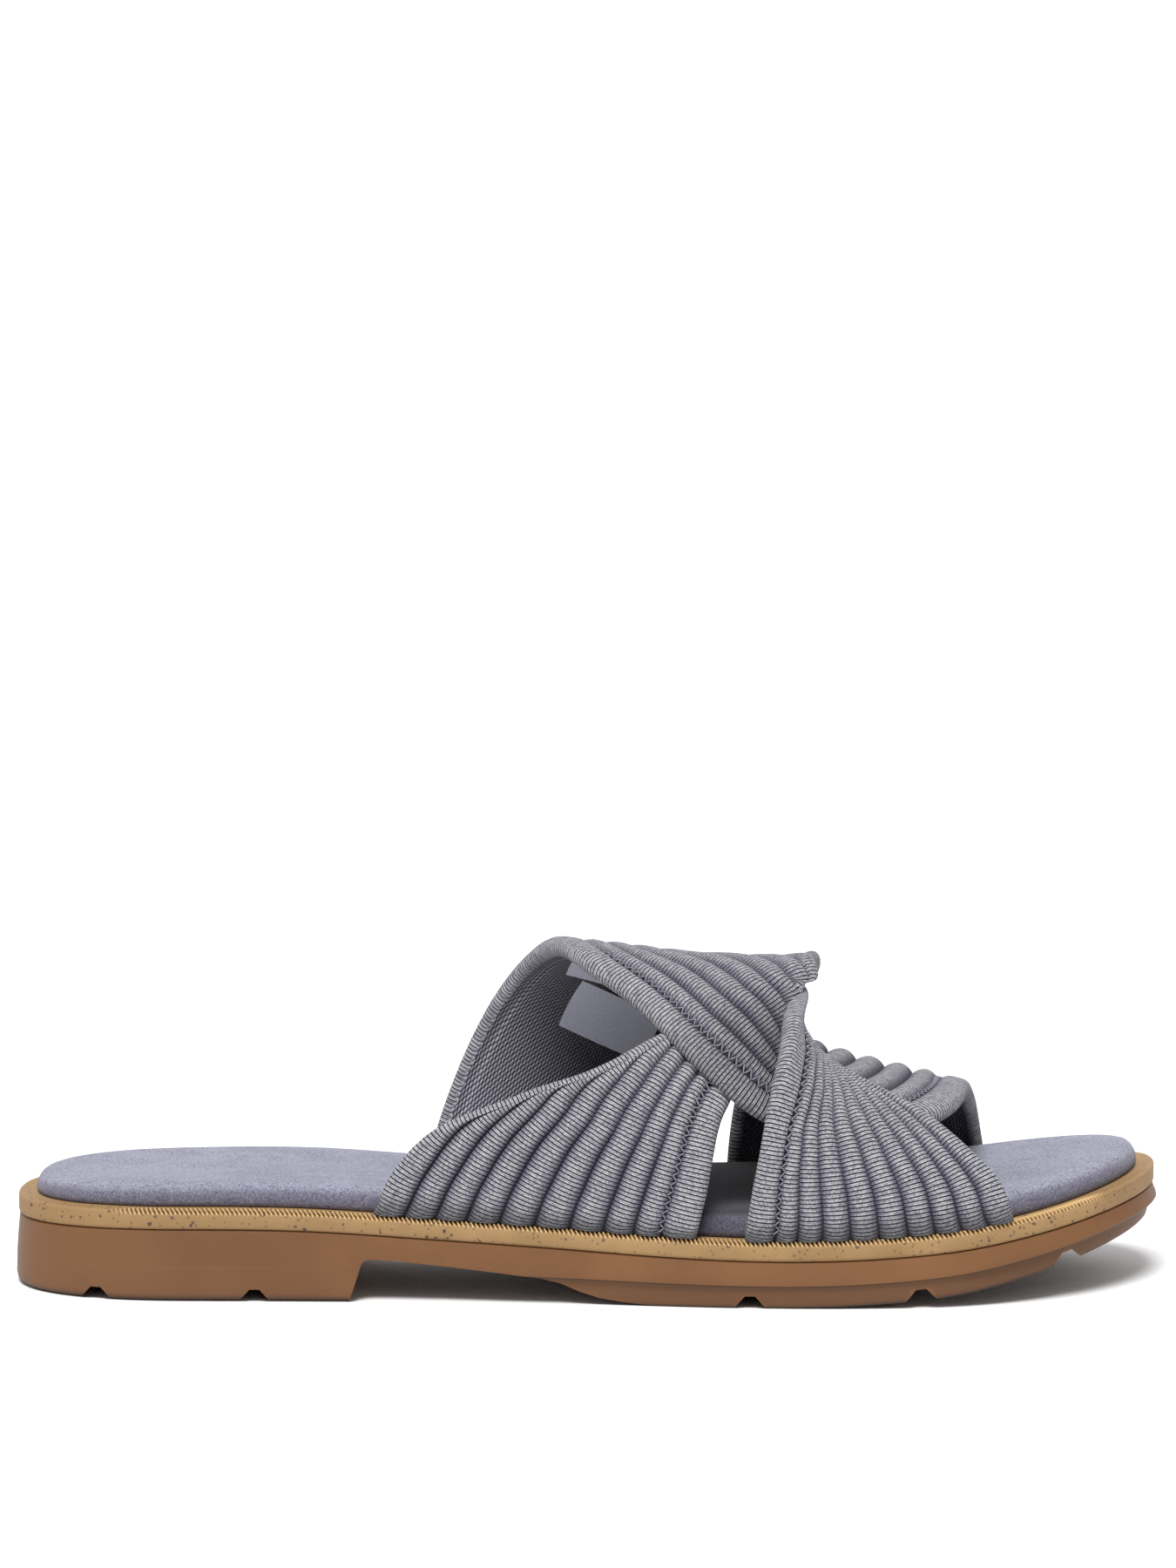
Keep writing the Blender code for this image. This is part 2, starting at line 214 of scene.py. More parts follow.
class Finish:
    def __init__(self, name, roughness=0.8, **fixed):
        self.material = bpy.data.materials.new(name)
        self.material.use_nodes = True
        self.tree = self.material.node_tree
        self.shader = self.tree.nodes["Principled BSDF"]
        self.shader.inputs["Roughness"].default_value = roughness
        for socket, value in fixed.items():
            self.shader.inputs[socket.replace("_", " ")].default_value = value

    def node(self, kind, settings=None, sockets=None, output=0):
        made = self.tree.nodes.new(kind)
        for key, value in (settings or {}).items():
            setattr(made, key, value)
        for key, value in (sockets or {}).items():
            if isinstance(value, Wire):
                self.tree.links.new(value.socket, made.inputs[key])
            else:
                made.inputs[key].default_value = value
        return Wire(self, made.outputs[output])

    def place(self):
        return self.node("ShaderNodeTexCoord", output="Object")

    def share(self, name):
        # a value that the mesh holds at each of its points
        return self.node("ShaderNodeAttribute", {"attribute_name": name}, output="Fac")

    def parts(self, vector):
        # X, Y and Z of a vector
        split = self.node("ShaderNodeSeparateXYZ", None, {"Vector": vector}).socket.node
        return [Wire(self, split.outputs[axis]) for axis in "XYZ"]

    def noise(self, vector, scale, detail=2.0, roughness=0.5):
        sockets = {"Vector": vector, "Scale": scale, "Detail": detail, "Roughness": roughness}
        return self.node("ShaderNodeTexNoise", None, sockets)

    def spots(self, vector, scale, output="Distance"):
        return self.node("ShaderNodeTexVoronoi", None, {"Vector": vector, "Scale": scale}, output)

    def blend(self, factor, first, second):
        colours = [value if isinstance(value, Wire) else (*value, 1) for value in (first, second)]
        sockets = {0: factor, 6: colours[0], 7: colours[1]}
        return self.node("ShaderNodeMix", {"data_type": "RGBA"}, sockets, 2)

    def wear(self, colour, roughness=None, height=None, distance=0.0002, strength=1.0):
        # sets what the surface shows; distance is the depth of the bumps in metres
        self.tree.links.new(colour.socket, self.shader.inputs["Base Color"])
        if roughness is not None:
            self.tree.links.new(roughness.socket, self.shader.inputs["Roughness"])
        if height is not None:
            sockets = {"Strength": strength, "Distance": distance, "Height": height}
            bump = self.node("ShaderNodeBump", None, sockets)
            self.tree.links.new(bump.socket, self.shader.inputs["Normal"])
        return self.material


def shadeOf(*screen):
    # a colour as a screen shows it, 0 to 255, turned into the shader's linear value
    return tuple(((value / 255 + 0.055) / 1.055) ** 2.4 for value in screen)


# Modelling helpers
def clearSelection():
    bpy.ops.object.select_all(action="DESELECT")


def shapedGrid(name, points):
    # a flat grid primitive whose points are moved to a table of rows and columns
    rows, columns = points.shape[:2]
    clearSelection()
    bpy.ops.mesh.primitive_grid_add(x_subdivisions=columns - 1, y_subdivisions=rows - 1, size=1)
    piece = bpy.context.object
    piece.name = piece.data.name = name
    piece.data.vertices.foreach_set("co", points.reshape(-1, 3).astype(np.float32).ravel())
    piece.data.update()
    return piece


def inEdit(piece, *steps):
    # runs edit-mode operators on the whole piece
    clearSelection()
    piece.select_set(True)
    bpy.context.view_layer.objects.active = piece
    bpy.ops.object.mode_set(mode="EDIT")
    bpy.ops.mesh.select_all(action="SELECT")
    for step in steps:
        step()
    bpy.ops.object.mode_set(mode="OBJECT")


def closeSeam():
    bpy.ops.mesh.remove_doubles(threshold=0.000004)


def capEnds():
    bpy.ops.mesh.select_all(action="DESELECT")
    bpy.ops.mesh.select_non_manifold()
    bpy.ops.mesh.edge_face_add()
    bpy.ops.mesh.select_all(action="SELECT")


def normalsOut():
    bpy.ops.mesh.normals_make_consistent(inside=False)


def smoothed(piece, angle=35):
    clearSelection()
    piece.select_set(True)
    bpy.context.view_layer.objects.active = piece
    bpy.ops.object.shade_smooth_by_angle(angle=math.radians(angle), keep_sharp_edges=True)


def applyAll(piece):
    clearSelection()
    piece.select_set(True)
    bpy.context.view_layer.objects.active = piece
    for step in list(piece.modifiers):
        bpy.ops.object.modifier_apply(modifier=step.name)


def keepShare(piece, name, values):
    # stores a value for each point of the mesh, for its material to read
    held = piece.data.attributes.new(name, "FLOAT", "POINT")
    held.data.foreach_set("value", np.ravel(values).astype(np.float32))


def finished(piece, material, node):
    piece.data.materials.clear()
    piece.data.materials.append(material)
    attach(piece, "root")
    if node:
        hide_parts(node)


def ringSolid(name, turn, levels):
    # levels are (inset, height function) from the first ring to the last
    rings = []
    for inset, height in levels:
        flat = soleRing(turn, inset)
        rings.append(np.column_stack((flat, height(alongOf(flat[:, 0])))))
    return shapedGrid(name, np.array(rings))


# Outsole
outsole = {
    "points": 560,
    # level from tread to midsole, then how far the wall stands back at heel, ball and toe (tierStep)
    "wall": (
        (0.00, 0.95, 1.25, 1.85), (0.025, 0.20, 0.85, 1.40), (0.07, -0.20, 0.62, 1.12),
        (0.14, -0.38, 0.52, 0.98), (0.30, -0.34, 0.45, 0.90), (0.440, -0.30, 0.40, 0.85),
        (0.462, -0.29, 0.30, 0.70), (0.472, -0.29, 0.02, 0.02), (0.490, -0.28, -0.16, -0.28),
        (0.53, -0.24, -0.20, -0.42), (0.64, -0.16, -0.12, -0.34), (0.78, -0.05, 0.06, -0.06),
        (0.90, 0.08, 0.20, 0.14), (0.97, 0.16, 0.28, 0.24), (1.00, 0.55, 0.60, 0.60)),
    "heelTo": 0.28, "ball": (0.45, 0.80), "toeFrom": 0.96,      # along, where those three columns hold
    # level of the lower tier's top, and along where its paint sets in
    "tierTop": 0.468, "tierFades": (0.34, 0.60),
    "capInset": 0.0035,       # how far the faces under and over the wall's rings stand in
    # along, height of the hollow under the arch (heelBreast)
    "arch": (
        (0.290, -0.30), (0.2938, 0.02), (0.2982, 0.44), (0.3023, 0.86), (0.3048, 1.10), (0.3085, 1.19),
        (0.315, 1.21), (0.335, 1.17), (0.380, 1.03), (0.430, 0.85), (0.460, 0.72), (0.478, 0.58),
        (0.492, 0.38), (0.510, 0.20), (0.535, 0.08), (0.570, -0.02), (0.570, -0.30)),
    "notches": (0.074, 0.212, 0.639, 0.786, 0.914),
    "notchFoot": 0.0072, "notchTop": 0.0023, "notchDepth": 0.0028, "notchBelow": 1.5,
    "cloudScale": 38.0, "grainScale": 2600.0, "grainDepth": 0.00006,
    "heelFades": (-0.085, -0.040), "heelShadeDepth": 0.3,   # X in metres where the painted shade at the heel end fades out
    "skin": shadeOf(125, 86, 53), "shade": shadeOf(114, 77, 47), "light": shadeOf(140, 98, 63),
    # under is the painted shade on faces that look down
    "tierShade": shadeOf(96, 66, 44), "under": shadeOf(62, 46, 36),
}


def rubberFinish():
    finish = Finish(
        "tan gum rubber", roughness=0.5, Specular_IOR_Level=0.3, Coat_Weight=0.04, Coat_Roughness=0.45)
    place = finish.place()
    cloud = finish.noise(place, outsole["cloudScale"], 3.0)
    grain = finish.noise(place, outsole["grainScale"], 2.0, 0.6)
    tone = finish.blend(cloud.within(0.35, 0.7), outsole["shade"], outsole["skin"])
    tone = finish.blend(grain.within(0.62, 0.8) * 0.25, tone, outsole["light"])
    tone = finish.blend(finish.share("tier") * 0.7, tone, outsole["tierShade"])
    # painted shade at the heel end, fading out towards the front
    behind = 1 - finish.parts(place)[0].within(*outsole["heelFades"])
    tone = finish.blend(behind * outsole["heelShadeDepth"], tone, outsole["tierShade"])
    # painted shade on faces that look down, such as the roof of the arch hollow
    up = finish.parts(finish.node("ShaderNodeNewGeometry", output="Normal"))[2]
    tone = finish.blend((0 - up).within(0.25, 0.75) * 0.8, tone, outsole["under"])
    return finish.wear(tone, 0.48 + cloud * 0.14, grain, distance=outsole["grainDepth"], strength=0.35)


def prism(name, corners, reach):
    # a cutter: a grid rolled through corners (x, z), which reaches as far to either side
    rows = np.array([[(x, side * reach, z) for side in (-1, 1)] for x, z in list(corners) + [corners[0]]])
    piece = shapedGrid(name, rows)
    inEdit(piece, closeSeam, capEnds, normalsOut)
    return piece


def makeOutsole():
    turn = np.linspace(0, 2 * np.pi, outsole["points"] + 1)
    along = (1 - np.cos(turn)) / 2

    def level(row):
        where = (0.0, outsole["heelTo"], *outsole["ball"], outsole["toeFrom"], 1.0)
        steps = tuple(zip(where, (row[1], row[1], row[2], row[2], row[3], row[3])))

        def height(at):
            low = treadHeight(at)
            return low + row[0] * (midsoleTop(at) - shoe["midsoleEdge"] - shoe["gap"] * 0.2 - low)
        return curveThrough(steps, 1, along) * shoe["tierStep"], height

    levels = [level(row) for row in outsole["wall"]]
    under, over = ((inset + outsole["capInset"], height) for inset, height in (levels[0], levels[-1]))
    piece = ringSolid("outsole_rubber", turn, [under] + levels + [over])
    lower = np.array([1.0] + [float(row[0] < outsole["tierTop"]) for row in outsole["wall"]] + [0.0])
    keepShare(piece, "tier", lower[:, None] * smoothStep(*outsole["tierFades"], along)[None, :])
    inEdit(piece, closeSeam, capEnds, closeSeam, normalsOut)
    arch = [((at - 0.5) * shoe["soleLength"], rise * shoe["heelBreast"]) for at, rise in outsole["arch"]]
    cutters = [prism("arch hollow", arch, shoe["ballWidth"])]
    below, top = outsole["notchBelow"], outsole["notchTop"] / 2
    foot = outsole["notchFoot"] / 2 + (outsole["notchFoot"] - outsole["notchTop"]) / 2 * below
    shape = ((-foot, -below), (-top, 1.0), (top, 1.0), (foot, -below))
    for number, at in enumerate(outsole["notches"]):
        middle = (at - 0.5) * shoe["soleLength"]
        tread = float(treadHeight(at))
        reach = outsole["notchFoot"] / shoe["soleLength"]
        lean = float(treadHeight(at + reach) - treadHeight(at - reach)) / (2 * outsole["notchFoot"])
        corners = [(middle + x, tread + lean * x + rise * outsole["notchDepth"]) for x, rise in shape]
        cutters.append(prism(f"notch {number}", corners, shoe["ballWidth"]))
    for cutter in cutters:
        step = piece.modifiers.new(cutter.name, "BOOLEAN")
        step.operation, step.solver, step.object = "DIFFERENCE", "EXACT", cutter
    applyAll(piece)
    for cutter in cutters:
        bpy.data.objects.remove(cutter, do_unlink=True)
    smoothed(piece, 32)
    finished(piece, rubberFinish(), "outsole")


print("making the outsole")
makeOutsole()


# Midsole with its ridged edge
midsole = {
    "toothPitch": 0.00102,
    "pointsPerTooth": 6,
    "ridgesFrom": 0.095, "ridgesTo": 0.955,   # along, where the ridges fade in and out
    "fadeIn": 0.02, "fadeOut": (0.03, 0.01),
    # inset and height over the bottom edge of the wall's rings, up to the ridges
    "wall": ((0.0060, 0.0), (0.0007, 0.0), (0.0002, 0.0002), (0.0, 0.0007), (0.0, 0.0022)),
    # height below the top, inset, how far a tooth's valley goes in and down (mm), and its lead (teeth)
    "rim": (
        (1.30, 0.00, 0.00, 0.00, 0.00), (1.08, 0.00, 0.20, 0.02, 0.00), (0.66, 0.00, 0.62, 0.10, 0.20),
        (0.22, 0.02, 0.80, 0.40, 0.40), (-0.12, 0.42, 0.60, 0.70, 0.55), (-0.16, 1.10, 0.20, 0.62, 0.72),
        (-0.10, 2.10, 0.00, 0.50, 0.95), (0.00, 3.00, 0.00, 0.15, 1.15)),
    "plainRound": 0.0003,     # how far the edge drops where it has no ridges
    "topInsets": (0.0036, 0.0080),
    # how strongly each rim level shows the painted highlight on the teeth's crests and the painted shade in
    # their valleys, over a value that shows neither
    "toothShading": (0.0, 0.45, 1.0, 1.0, 1.0, 1.0, 1.0, 0.5), "noShading": 0.46,
    # flecks: scale, size, share left out, strength
    "flecks": ((320.0, 0.14, 0.66, 0.90), (480.0, 0.18, 0.42, 0.75), (760.0, 0.23, 0.36, 0.45)),
    "fleckWobble": 0.34, "wobbleScale": 1100.0, "cloudScale": 60.0, "grainScale": 2200.0, "grainDepth": 0.00005,
    # the painted shade at the heel end: where it fades out, and its strength
    "heelFades": (-0.085, -0.040), "heelShadeDepth": 0.6,
    "skin": shadeOf(164, 132, 90), "light": shadeOf(182, 148, 104), "shade": shadeOf(148, 117, 78),
    # crest is a painted highlight on the teeth and valley a painted shade between them; fleck is the foam's own
    # speckle
    "fleck": shadeOf(66, 56, 62), "crest": shadeOf(226, 190, 134), "valley": shadeOf(66, 47, 30),
}


def speckleFinish():
    finish = Finish("speckled tan foam", roughness=0.66, Specular_IOR_Level=0.3)
    place = finish.place()
    cloud = finish.noise(place, midsole["cloudScale"], 3.0)
    grain = finish.noise(place, midsole["grainScale"], 2.0)
    tone = finish.blend(cloud.within(0.3, 0.7), midsole["shade"], midsole["skin"])
    tone = finish.blend(grain.within(0.55, 0.8) * 0.4, tone, midsole["light"])
    # painted shade at the heel end, fading out towards the front
    behind = 1 - finish.parts(place)[0].within(*midsole["heelFades"])
    tone = finish.blend(behind * midsole["heelShadeDepth"], tone, midsole["shade"])
    wobble = finish.noise(place, midsole["wobbleScale"], 2.0) - 0.5
    for scale, size, leftOut, strength in midsole["flecks"]:
        near = finish.spots(place, scale) + wobble * midsole["fleckWobble"]
        cell = finish.node("ShaderNodeSeparateColor", None, {"Color": finish.spots(place, scale, "Color")})
        tone = finish.blend((near < size) * (cell > leftOut) * strength, tone, midsole["fleck"])
    # painted highlight on the crests of the teeth and painted shade in their valleys
    tooth = finish.share("tooth")
    tone = finish.blend(tooth.within(0.50, 0.78) * 0.95, tone, midsole["crest"])
    tone = finish.blend((1 - tooth.within(0.10, 0.44)) * 0.95, tone, midsole["valley"])
    return finish.wear(tone, 0.6 + cloud * 0.12, grain, distance=midsole["grainDepth"], strength=0.3)


def makeMidsole():
    around = evenTurns(100)[1]
    count = round(around / midsole["toothPitch"]) * midsole["pointsPerTooth"]
    turn = evenTurns(count)[0]
    along = (1 - np.cos(turn)) / 2
    step = np.arange(count + 1) / midsole["pointsPerTooth"]
    start, end, fade = midsole["ridgesFrom"], midsole["ridgesTo"], midsole["fadeIn"]
    ridged = smoothStep(start - fade, start + fade, along)
    ridged *= 1 - smoothStep(end - midsole["fadeOut"][0], end + midsole["fadeOut"][1], along)
    millimetre = 0.001
    none = np.full(count + 1, midsole["noShading"])

    def drop(depth):
        return lambda at: midsoleTop(at) - depth

    levels = [(inset, drop(shoe["midsoleEdge"] - rise)) for inset, rise in midsole["wall"]]
    shadings = [none] * len(levels)
    for (low, inset, inward, down, lead), shading in zip(midsole["rim"], midsole["toothShading"]):
        valley = 0.5 - 0.5 * np.cos(2 * np.pi * (step + lead))
        plain = (1 - ridged) * midsole["plainRound"] * (low < 0.5)
        deep = valley**0.8 * ridged * millimetre
        levels.append((inset * millimetre + inward * deep, drop(low * millimetre + down * deep + plain)))
        shadings.append(none + (0.54 - valley) * shading * ridged)
    levels += [(inset, drop(0.0)) for inset in midsole["topInsets"]]
    shadings += [none] * len(midsole["topInsets"])
    piece = ringSolid("midsole_foam", turn, levels)
    keepShare(piece, "tooth", shadings)
    inEdit(piece, closeSeam, capEnds, normalsOut)
    smoothed(piece, 55)
    finished(piece, speckleFinish(), "midsole")


print("making the midsole")
makeMidsole()


# Footbed
footbed = {
    "points": 480,
    # inset from the ledge, share of bedHeight: the rolled edge
    "edge": (
        (0.0060, 0.0), (0.0006, 0.0), (0.0001, 0.06), (-0.0001, 0.22), (0.0, 0.42), (0.0003, 0.60),
        (0.0008, 0.76), (0.0016, 0.89), (0.0027, 0.965), (0.0042, 1.0), (0.0060, 1.012)),
    "inward": (0.10, 0.22, 0.36, 0.52, 0.70, 0.86, 1.0),     # rings from the edge to the middle line
    "heelCup": 0.0009, "cupFades": (0.40, 0.14),
    "archRise": 0.0012, "archAt": 0.42, "archSpan": 0.14, "archFades": (0.0, 0.030),
    "toeCrest": 0.0006, "crestAt": 0.83, "crestSpan": 0.05,
    "skin": shadeOf(150, 151, 169), "light": shadeOf(188, 189, 206), "shade": shadeOf(122, 121, 138),
    # side is the painted shade on the side of the rolled edge
    "fleck": shadeOf(74, 72, 88), "side": shadeOf(90, 86, 102), "shadeBelowStraps": shadeOf(22, 20, 25),
    "napScale": 55.0, "strokeScale": 260.0, "strokeStretch": (0.25, 1.0, 1.0),
    "grainScale": 2300.0, "speckScale": 1700.0, "grainDepth": 0.00025,
    # X and Y in metres between which the footbed takes painted shadow below the straps
    "coverFrom": (-0.020, 0.010), "coverTo": (0.066, 0.092), "coverSide": (0.0355, 0.0400), "shadeBelowStrapsDepth": 0.85,
}


def suedeFinish():
    finish = Finish(
        "brushed microfibre", roughness=0.95, Sheen_Weight=0.2, Sheen_Roughness=0.5, Specular_IOR_Level=0.2)
    place = finish.place()
    nap = finish.noise(place, footbed["napScale"], 4.0, 0.6)
    stroke = finish.node("ShaderNodeMapping", None, {"Vector": place, "Scale": footbed["strokeStretch"]})
    brushed = finish.noise(stroke, footbed["strokeScale"], 3.0, 0.6)
    grain = finish.noise(place, footbed["grainScale"], 3.0, 0.75)
    speck = finish.noise(place, footbed["speckScale"], 1.0, 0.5)
    tone = finish.blend((nap * 0.65 + brushed * 0.35).within(0.36, 0.58), footbed["shade"], footbed["skin"])
    tone = finish.blend(0.45, tone, footbed["skin"])
    # painted shade on the side of the rolled edge, which also takes fewer light specks
    wall = finish.share("wall")
    tone = finish.blend(wall * 0.85, tone, footbed["side"])
    tone = finish.blend(grain.within(0.47, 0.62) * (0.48 - wall * 0.25), tone, footbed["light"])
    tone = finish.blend(speck.within(0.52, 0.64) * 0.5, tone, footbed["fleck"])
    x, y, _ = finish.parts(place)
    # painted shadow on the footbed below the straps
    near, far = footbed["coverSide"]
    shadeBelowStraps = x.within(*footbed["coverFrom"]) * (1 - x.within(*footbed["coverTo"]))
    shadeBelowStraps = shadeBelowStraps * y.within(-far, -near) * (1 - y.within(near, far))
    tone = finish.blend(shadeBelowStraps * footbed["shadeBelowStrapsDepth"], tone, footbed["shadeBelowStraps"])
    return finish.wear(tone, None, grain, distance=footbed["grainDepth"], strength=0.9)


def makeFootbed():
    turn = np.linspace(0, 2 * np.pi, footbed["points"] + 1)
    rings, walls = [], []
    for inset, share in footbed["edge"]:
        # how much painted shade each ring of the rolled edge takes: most low on its side, none on top
        walls.append(1 - smoothStep(0.50, 0.98, share))
        flat = soleRing(turn, shoe["bedLedge"] + inset)
        rings.append(np.column_stack((flat, bedBase(alongOf(flat[:, 0]), share))))
    rim, top = rings[-1], footbed["edge"][-1][1]
    spine = np.column_stack((rim[:, 0] * 0.93, (rim[:, 1] + rim[::-1, 1]) / 2))
    for part in footbed["inward"]:
        flat = rim[:, :2] + (spine - rim[:, :2]) * part
        at = alongOf(flat[:, 0])
        cup = footbed["heelCup"] * smoothStep(*footbed["cupFades"], at) * part
        crest = footbed["toeCrest"] * bell(at, footbed["crestAt"], footbed["crestSpan"]) * part
        arch = footbed["archRise"] * bell(at, footbed["archAt"], footbed["archSpan"])
        arch = arch * smoothStep(*footbed["archFades"], flat[:, 1]) * (1 - part) * smoothStep(0, 0.2, part)
        rings.append(np.column_stack((flat, bedBase(at, top) - cup + crest + arch)))
        walls.append(0.0)
    piece = shapedGrid("footbed_suede", np.array(rings))
    keepShare(piece, "wall", np.repeat(walls, len(turn)))
    inEdit(piece, closeSeam, capEnds, normalsOut)
    smoothed(piece, 60)
    finished(piece, suedeFinish(), "footbed")


print("making the footbed")
makeFootbed()


# Straps. Each row: travel, outer edge along, girth, lift, inner edge along, girth, lift
# (girth runs from the outer side of the sole, 0, to the inner side, 1; lift is a share of knotRise)
sideStrap = {
    "name": "side_strap",
    "rows": (
        (0.00, 0.316, 0.000, 0.000, 0.593, 0.000, 0.000), (0.09, 0.337, 0.048, 0.015, 0.598, 0.030, 0.015),
        (0.18, 0.372, 0.096, 0.030, 0.603, 0.066, 0.015), (0.28, 0.446, 0.153, 0.040, 0.607, 0.112, 0.015),
        (0.38, 0.529, 0.232, 0.040, 0.613, 0.170, 0.030), (0.46, 0.597, 0.370, 0.020, 0.626, 0.250, 0.090),
        (0.53, 0.645, 0.530, 0.080, 0.636, 0.390, 0.350), (0.59, 0.656, 0.500, 0.200, 0.640, 0.440, 0.740),
        (0.65, 0.672, 0.430, 0.100, 0.638, 0.350, 0.720), (0.72, 0.716, 0.385, 0.030, 0.641, 0.262, 0.600),
        (0.81, 0.788, 0.290, 0.050, 0.645, 0.150, 0.300), (0.90, 0.843, 0.145, 0.020, 0.642, 0.070, 0.105),
        (1.00, 0.863, 0.000, 0.000, 0.636, 0.000, 0.000)),
    "furrows": (0, 0.084, 0.184, 0.283, 0.388, 0.500, 0.611, 0.720, 0.817, 0.904, 1),   # shares of the width
    "seam": 0.904,            # the furrow that the zigzag stitches follow
    "width": 0.068,           # of the cloth where it lies flat
    "outward": 1,             # which way its sheet faces
    # travel, share of the width rolled under the outer edge, the inner edge, and bunched under the edge rib
    "crowd": (
        (0.00, 0.00, 0.0, 0.00), (0.12, 0.01, 0.0, 0.00), (0.18, 0.05, 0.0, 0.00), (0.23, 0.12, 0.0, 0.00),
        (0.285, 0.235, 0.0, 0.00), (0.32, 0.33, 0.0, 0.00), (0.365, 0.45, 0.0, 0.00), (0.40, 0.54, 0.0, 0.00),
        (0.46, 0.66, 0.0, 0.00), (0.51, 0.66, 0.0, 0.00), (0.56, 0.40, 0.0, 0.12), (0.60, 0.18, 0.0, 0.30),
        (0.64, 0.04, 0.0, 0.60), (0.675, 0.00, 0.0, 0.72), (0.75, 0.00, 0.0, 0.30), (0.80, 0.00, 0.0, 0.06),
        (0.85, 0.00, 0.0, 0.00), (1.00, 0.00, 0.0, 0.00)),
    "tip": 0.0,               # how much the edge swells where it ends in the knot's tip
    # travel over which painted shade sets in and fades again where the strap dives into the knot, and its
    # strength
    "dimmed": (0.36, 0.48, 0.58, 0.62), "dimDepth": 0.0,
}
archStrap = {
    "name": "arch_strap",
    "rows": (
        (0.00, 0.355, 1.000, 0.000, 0.577, 1.000, 0.000), (0.08, 0.372, 0.930, 0.015, 0.579, 0.930, 0.015),
        (0.18, 0.403, 0.810, 0.015, 0.589, 0.820, 0.040), (0.28, 0.448, 0.640, 0.015, 0.616, 0.700, 0.140),
        (0.37, 0.496, 0.430, 0.020, 0.644, 0.590, 0.480), (0.44, 0.540, 0.345, 0.060, 0.658, 0.510, 0.930),
        (0.51, 0.590, 0.245, 0.200, 0.643, 0.455, 0.760), (0.58, 0.640, 0.190, 0.150, 0.655, 0.390, 0.250),
        (0.66, 0.701, 0.195, 0.000, 0.663, 0.430, 0.000), (0.74, 0.771, 0.250, -0.010, 0.660, 0.540, -0.010),
        (0.82, 0.818, 0.390, -0.010, 0.652, 0.680, 0.000), (0.91, 0.843, 0.720, 0.000, 0.635, 0.860, 0.010),
        (1.00, 0.857, 1.000, 0.000, 0.627, 1.000, 0.000)),
    "furrows": (0, 0.105, 0.205, 0.315, 0.430, 0.545, 0.660, 0.775, 0.885, 1),
    "seam": 0.105,
    "width": 0.064,
    "outward": -1,
    "crowd": (
        (0.00, 0.0, 0.00, 0.0), (0.34, 0.0, 0.00, 0.0), (0.40, 0.0, 0.06, 0.0), (0.44, 0.0, 0.12, 0.0),
        (0.48, 0.0, 0.22, 0.0), (0.52, 0.0, 0.36, 0.0), (0.56, 0.0, 0.48, 0.0), (0.60, 0.0, 0.50, 0.0),
        (0.64, 0.0, 0.42, 0.0), (0.70, 0.0, 0.30, 0.0), (0.76, 0.0, 0.22, 0.0), (0.85, 0.0, 0.17, 0.0),
        (0.93, 0.0, 0.06, 0.0), (1.00, 0.0, 0.00, 0.0)),
    "tip": 0.0010,
    "dimmed": (0.45, 0.53, 0.62, 0.66), "dimDepth": 0.6,
}
strapMake = {
    "rows": 260,
    "pointsPerRib": 12,
    "edgePoints": 7,
    "insidePoints": 72,
    "hemShare": 0.85,         # how far the turned edge stands in from the strap's edge, share of its radius
    "tipAt": 0.450, "tipSpan": 0.055, "tipRises": (0.45, 0.97),
    "rollSoft": 0.035,        # how softly ribs roll under an edge
    "bunchPower": 6,          # how tightly they bunch under the edge rib
    "ribPower": 0.62,         # how full the round of a rib is
    "tuck": 0.036,            # share of the travel over which the ribs round into the sole
    "tuckLeast": 0.66,
    "rimWidth": 0.0030, "rimRise": 0.0005,           # turned rim on the inner side
    "footFades": (0.004, 0.055), "dimFades": (0.30, 0.85),   # travel and width over which painted shade fades
    "uvStep": 0.0137,         # sets the weave of each rib apart from the next
    "rowPitch": 0.00048, "stitchPitch": 0.00042,
    "rowWobble": 0.2, "wobbleScale": 260.0, "heatherScale": 700.0, "slackScale": 150.0, "knitDepth": 0.00038,
    "twill": (0.0011, 0.0007), "liningShadeFades": (-0.030, 0.008),   # pitches, and X in metres over which painted shade on the lining sets in
    "yarnLight": shadeOf(188, 188, 193), "yarn": shadeOf(138, 137, 148), "yarnDark": shadeOf(72, 70, 86),
    "gapShade": shadeOf(16, 15, 21), "furrowShade": shadeOf(34, 30, 48), "flankShade": shadeOf(92, 88, 118),
    "inside": shadeOf(186, 185, 194), "insideDark": shadeOf(66, 65, 74), "liningShade": shadeOf(36, 34, 42),
    "seamStep": 0.0011, "seamSwing": 0.0006, "seamThread": 0.00017, "threadShade": shadeOf(112, 110, 128),
    "seamEnds": (0.012, 0.988),
}


def instepPoint(along, girth):
    outer, inner = soleSides(along)
    outer, inner = outer + shoe["bedLedge"] - 2 * shoe["gap"], inner - shoe["bedLedge"] + 2 * shoe["gap"]
    low = midsoleTop(along) + shoe["gap"] * 0.3
    side, rise = -np.cos(np.pi * girth), np.sin(np.pi * girth)
    power = 2 / shoe["instepFull"]
    across = (outer + inner) / 2 + (inner - outer) / 2 * np.sign(side) * np.abs(side) ** power
    top = curveThrough(shoe["instep"], 1, along) * shoe["instepTop"]
    height = low + (top - low) * np.clip(rise, 0, 1) ** power
    return np.stack(((along - 0.5) * shoe["soleLength"], across, height), axis=-1)


def unit(vectors):
    return vectors / np.maximum(np.linalg.norm(vectors, axis=-1), 1e-12)[..., None]


def instepNormal(along, girth):
    inside = np.clip(girth, 0.006, 0.994)
    run = instepPoint(along + 0.002, inside) - instepPoint(along - 0.002, inside)
    climb = instepPoint(along, inside + 0.001) - instepPoint(along, inside - 0.001)
    return unit(np.cross(run, climb))


